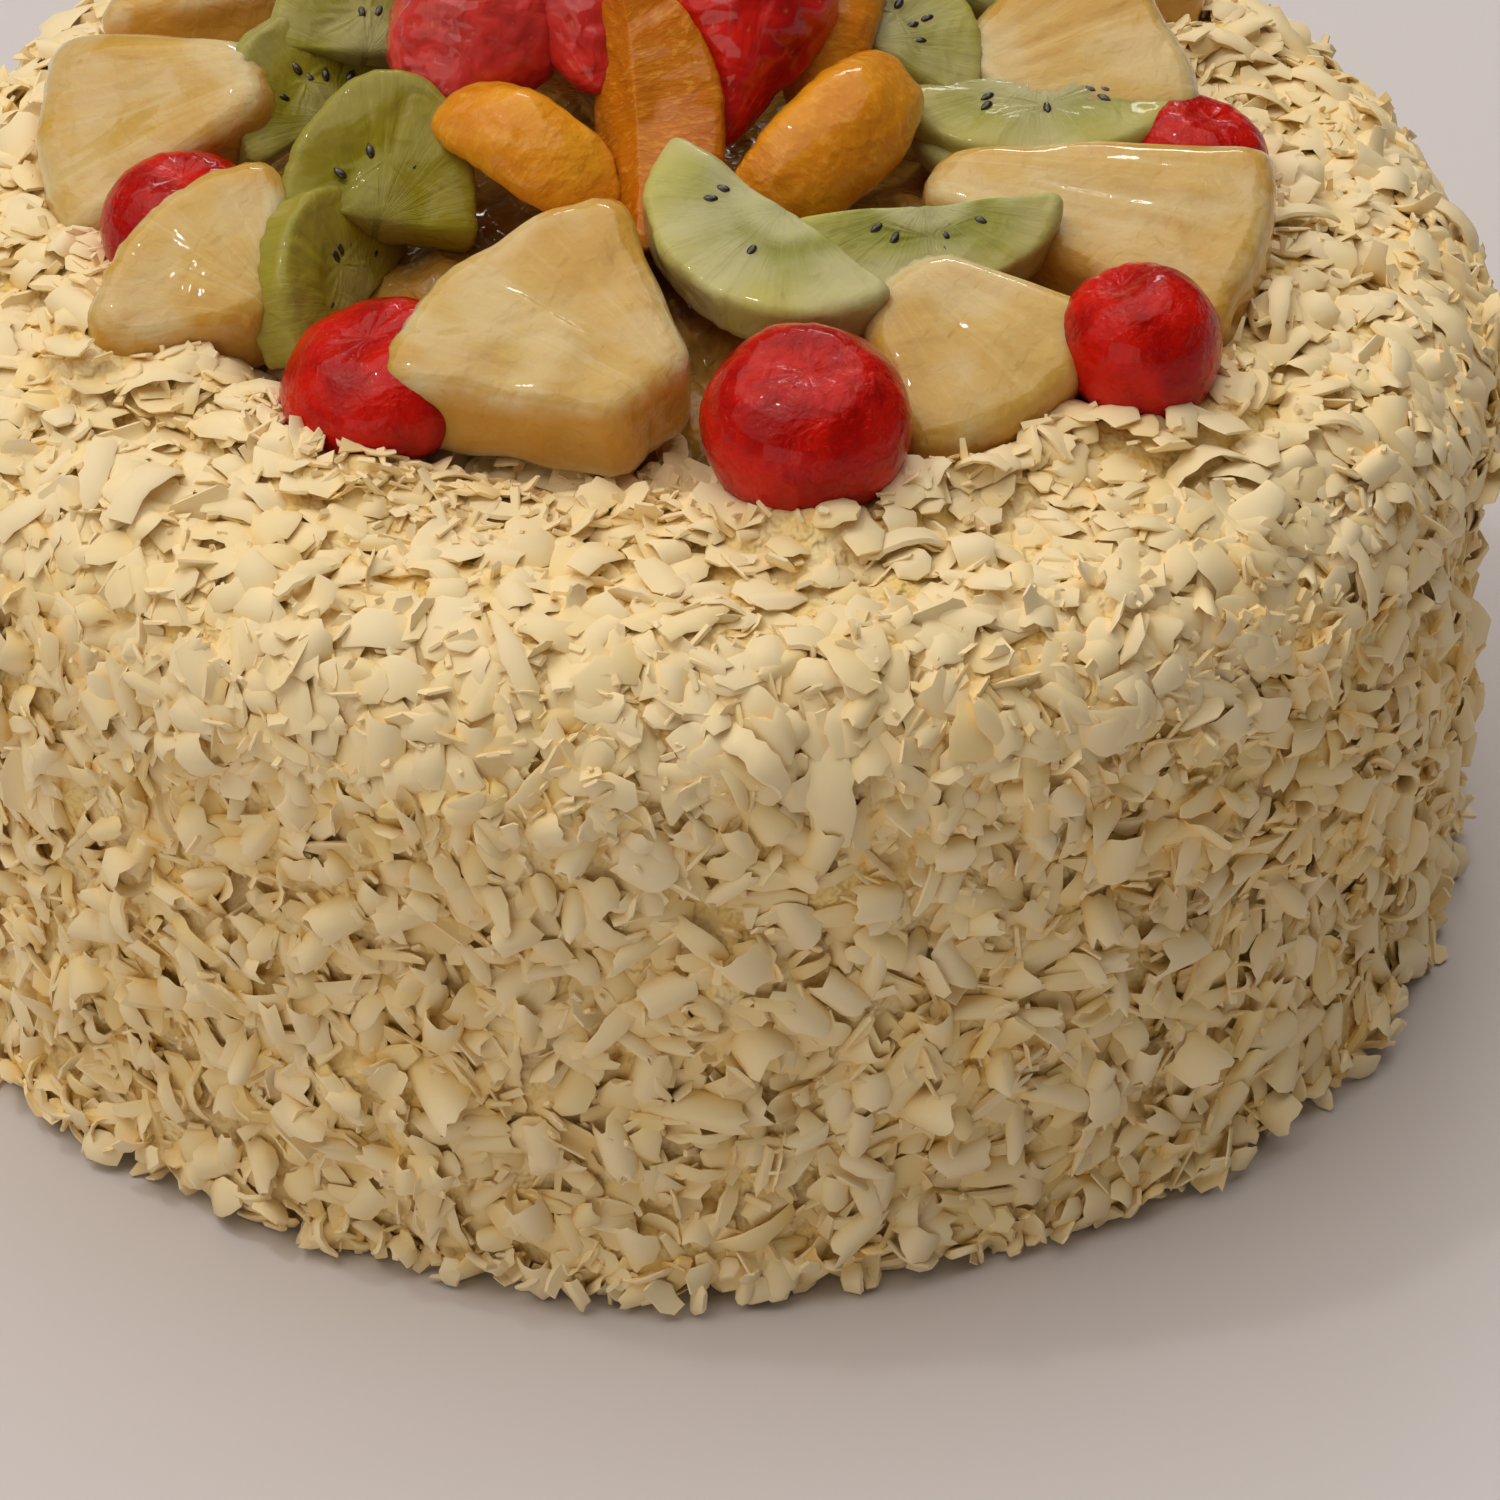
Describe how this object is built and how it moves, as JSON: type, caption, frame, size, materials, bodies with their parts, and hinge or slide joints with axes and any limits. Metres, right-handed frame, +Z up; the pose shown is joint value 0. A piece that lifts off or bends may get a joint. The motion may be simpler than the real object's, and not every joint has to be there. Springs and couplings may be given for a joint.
{
  "type": "fruit cream cake",
  "caption": "Round uncut cream cake coated in pale shavings, with glazed pineapple, cherry, mandarin, kiwi and strawberry pieces heaped on its top.",
  "frame": {"origin": "centre of the flat base, on what the cake stands on", "axes": "+Z up through the cake; -Y towards the cake's front, the side the picture was taken from; +X to that viewer's right"},
  "size_m": [0.2074, 0.2076, 0.1315],
  "materials": {
    "coating": "pale cream-yellow shavings of white chocolate over cream, soft and matte",
    "pineapple": "tinned pineapple, pale gold and slightly see-through, wet with clear glaze",
    "cherry": "preserved red cherry, smooth and very glossy",
    "mandarin": "tinned mandarin, orange and slightly see-through, wet with clear glaze",
    "kiwi": "kiwi slice, yellow-green with a paler middle and small dark seeds, wet with clear glaze",
    "strawberry": "halved strawberry, deep red and glossy with clear glaze",
    "jelly": "thin clear glaze that gathered between the fruit",
    "seed": "small dark seeds in the kiwi"
  },
  "bodies": {
    "root": {"cake_body": "coating", "pineapple_front": "pineapple", "pineapple_front_right": "pineapple", "pineapple_right": "pineapple", "pineapple_left": "pineapple", "pineapple_left_back": "pineapple", "pineapple_right_back": "pineapple", "pineapple_back_left": "pineapple", "pineapple_back": "pineapple", "pineapple_back_right": "pineapple", "cherry_front": "cherry", "cherry_right": "cherry", "cherry_front_left": "cherry", "cherry_left": "cherry", "cherry_right_back": "cherry", "cherry_back_left": "cherry", "cherry_back_right": "cherry", "cherry_left_back": "cherry", "mandarin_middle": "mandarin", "mandarin_left": "mandarin", "mandarin_right": "mandarin", "mandarin_inner_right": "mandarin", "mandarin_back_left": "mandarin", "mandarin_back": "mandarin", "kiwi_front": "kiwi", "kiwi_front_right": "kiwi", "kiwi_left": "kiwi", "kiwi_left_low": "kiwi", "kiwi_left_back": "kiwi", "kiwi_back_left": "kiwi", "kiwi_right": "kiwi", "kiwi_right_upper": "kiwi", "kiwi_inner_right": "kiwi", "kiwi_right_back": "kiwi", "kiwi_back": "kiwi", "kiwi_back_right": "kiwi", "strawberry_left": "strawberry", "strawberry_inner_left": "strawberry", "strawberry_inner_right": "strawberry", "strawberry_back": "strawberry", "strawberry_back_right": "strawberry"}
  },
  "joints": []
}
